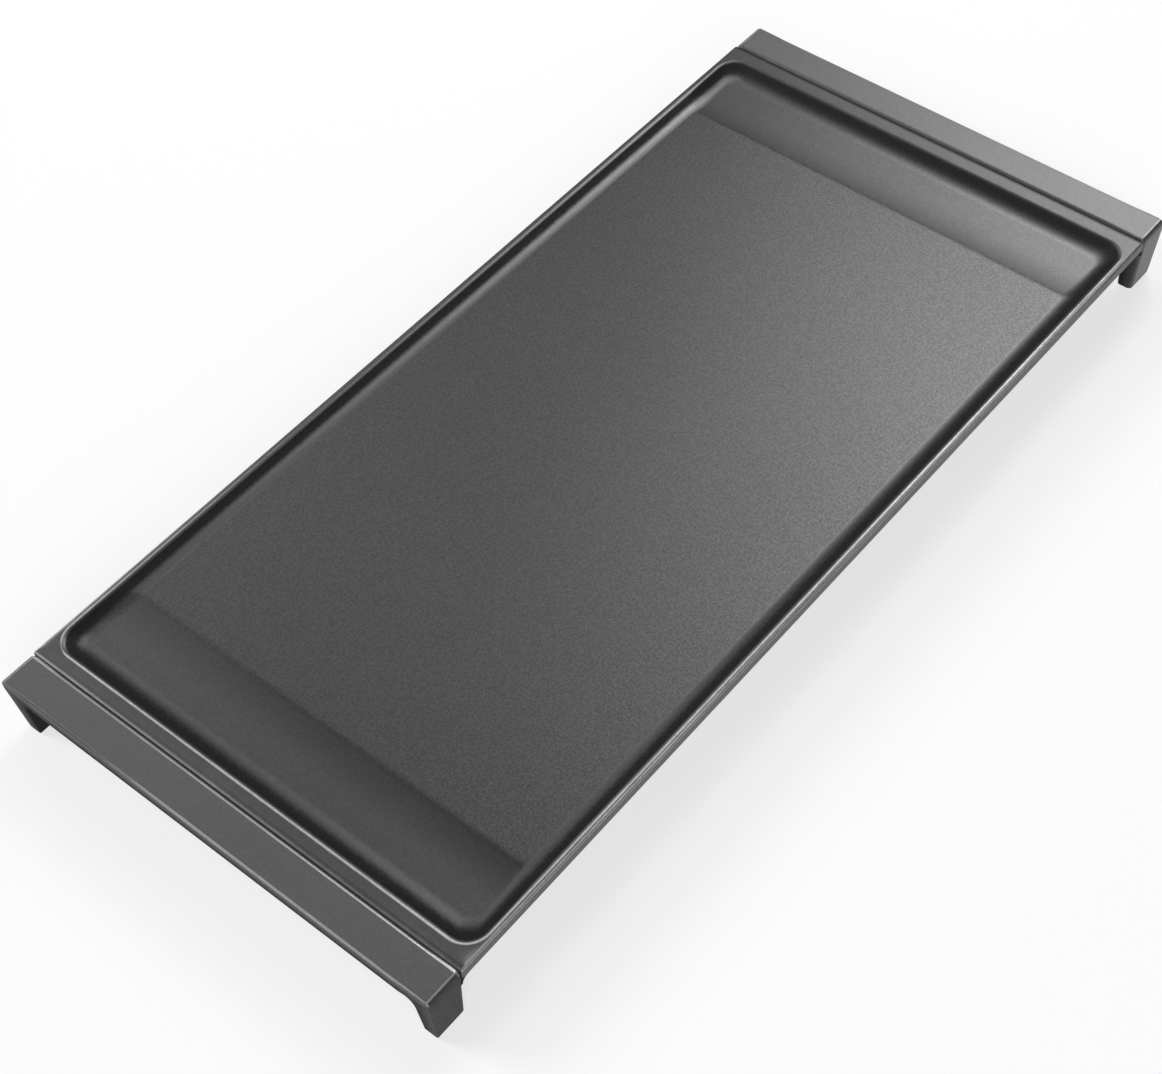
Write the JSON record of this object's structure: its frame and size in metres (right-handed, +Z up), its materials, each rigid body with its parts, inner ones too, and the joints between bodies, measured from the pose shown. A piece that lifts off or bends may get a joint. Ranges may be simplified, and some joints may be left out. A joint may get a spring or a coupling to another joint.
{
  "type": "griddle plate",
  "caption": "Long flat drop-on griddle plate with a shallow coved recess, a grease trough at each end and end rails on short legs.",
  "frame": {"origin": "middle of the footprint, on the surface the foot pads stand on", "axes": "+X along the length, +Y across the width, +Z up out of the cooking face"},
  "size_m": [0.48, 0.225, 0.032],
  "materials": {
    "griddle_coating": "satin dark grey non-stick coating over cast metal, fine pebble on the cooking face",
    "zinc_steel": "zinc plated",
    "black_silicone": "matte"
  },
  "bodies": {
    "root": {"griddle_plate": "griddle_coating", "left_end_rail": "griddle_coating", "right_end_rail": "griddle_coating", "left_rail_screws": "zinc_steel", "left_rail_washers": "zinc_steel", "right_rail_screws": "zinc_steel", "right_rail_washers": "zinc_steel", "left_front_foot_pad": "black_silicone", "left_back_foot_pad": "black_silicone", "right_front_foot_pad": "black_silicone", "right_back_foot_pad": "black_silicone"}
  },
  "joints": []
}
